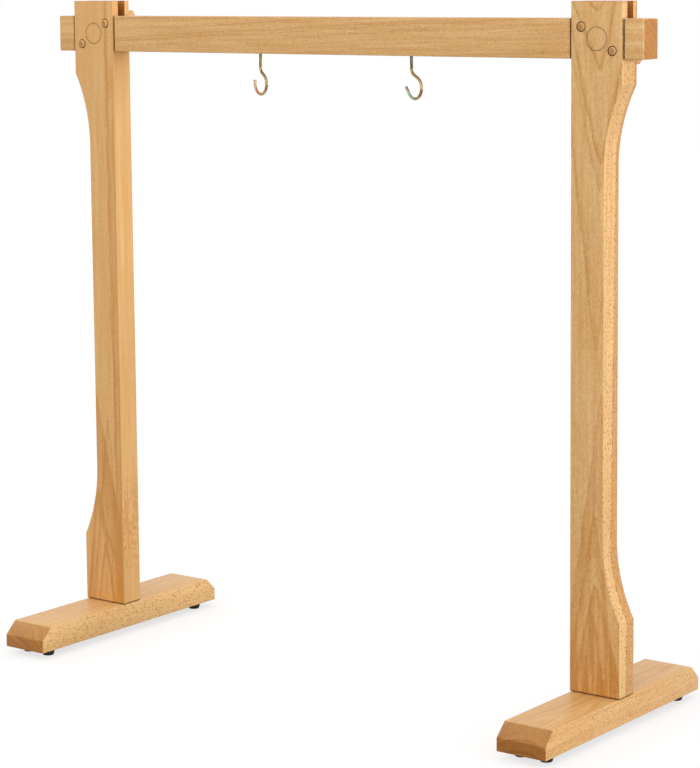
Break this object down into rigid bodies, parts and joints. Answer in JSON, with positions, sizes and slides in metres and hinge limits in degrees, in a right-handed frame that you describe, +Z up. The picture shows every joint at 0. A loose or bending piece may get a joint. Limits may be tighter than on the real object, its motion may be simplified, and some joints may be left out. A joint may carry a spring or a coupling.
{
  "type": "gong stand",
  "caption": "Free-standing wooden gong stand: two waisted posts on crosswise feet, a crossbar dropped into slots and locked by two-pin keys, and screw hooks that carry the gong.",
  "frame": {"origin": "on the floor, midway between the posts and midway along the feet", "axes": "+X along the crossbar, to the viewer's right from the front; +Y to the back, where the key bars are; +Z up"},
  "size_m": [1.322, 0.514, 1.2551],
  "materials": {
    "beech": "oiled beech, satin",
    "dowel": "oiled beech dowel, satin",
    "rubber": "matt black",
    "yellow_zinc": "yellow chromated zinc plate",
    "steel": "bright zinc plate",
    "brass": "turned brass"
  },
  "bodies": {
    "stand": {"crossbar": "beech", "left_bolt_inner": "steel", "left_bolt_outer": "steel", "left_bumper_back_inner": "rubber", "left_bumper_back_outer": "rubber", "left_bumper_front_inner": "rubber", "left_bumper_front_outer": "rubber", "left_bumper_screw_back_inner": "steel", "left_bumper_screw_back_outer": "steel", "left_bumper_screw_front_inner": "steel", "left_bumper_screw_front_outer": "steel", "left_foot": "beech", "left_insert_inner": "brass", "left_insert_outer": "brass", "left_post": "beech", "left_washer_inner": "steel", "left_washer_outer": "steel", "right_bolt_inner": "steel", "right_bolt_outer": "steel", "right_bumper_back_inner": "rubber", "right_bumper_back_outer": "rubber", "right_bumper_front_inner": "rubber", "right_bumper_front_outer": "rubber", "right_bumper_screw_back_inner": "steel", "right_bumper_screw_back_outer": "steel", "right_bumper_screw_front_inner": "steel", "right_bumper_screw_front_outer": "steel", "right_foot": "beech", "right_insert_inner": "brass", "right_insert_outer": "brass", "right_post": "beech", "right_washer_inner": "steel", "right_washer_outer": "steel"},
    "left_key": {"left_key_bar": "beech", "left_key_pin_inner": "dowel", "left_key_pin_outer": "dowel"},
    "right_key": {"right_key_bar": "beech", "right_key_pin_inner": "dowel", "right_key_pin_outer": "dowel"},
    "left_hook_body": {"left_hook": "yellow_zinc"},
    "right_hook_body": {"right_hook": "yellow_zinc"}
  },
  "joints": [
    {"name": "left_key_slide", "type": "slide", "parent": "stand", "child": "left_key", "axis": [0, 1, 0], "range_m": [0, 0.06]},
    {"name": "right_key_slide", "type": "slide", "parent": "stand", "child": "right_key", "axis": [0, 1, 0], "range_m": [-0.002, 0.058]},
    {"name": "left_hook_turn", "type": "hinge", "parent": "stand", "child": "left_hook_body", "pos_m": [-0.1725, 0, 1.1581], "axis": [0, 0, 1], "range_deg": [-180, 180]},
    {"name": "right_hook_turn", "type": "hinge", "parent": "stand", "child": "right_hook_body", "pos_m": [0.1725, 0, 1.1581], "axis": [0, 0, 1], "range_deg": [-180, 180]}
  ]
}
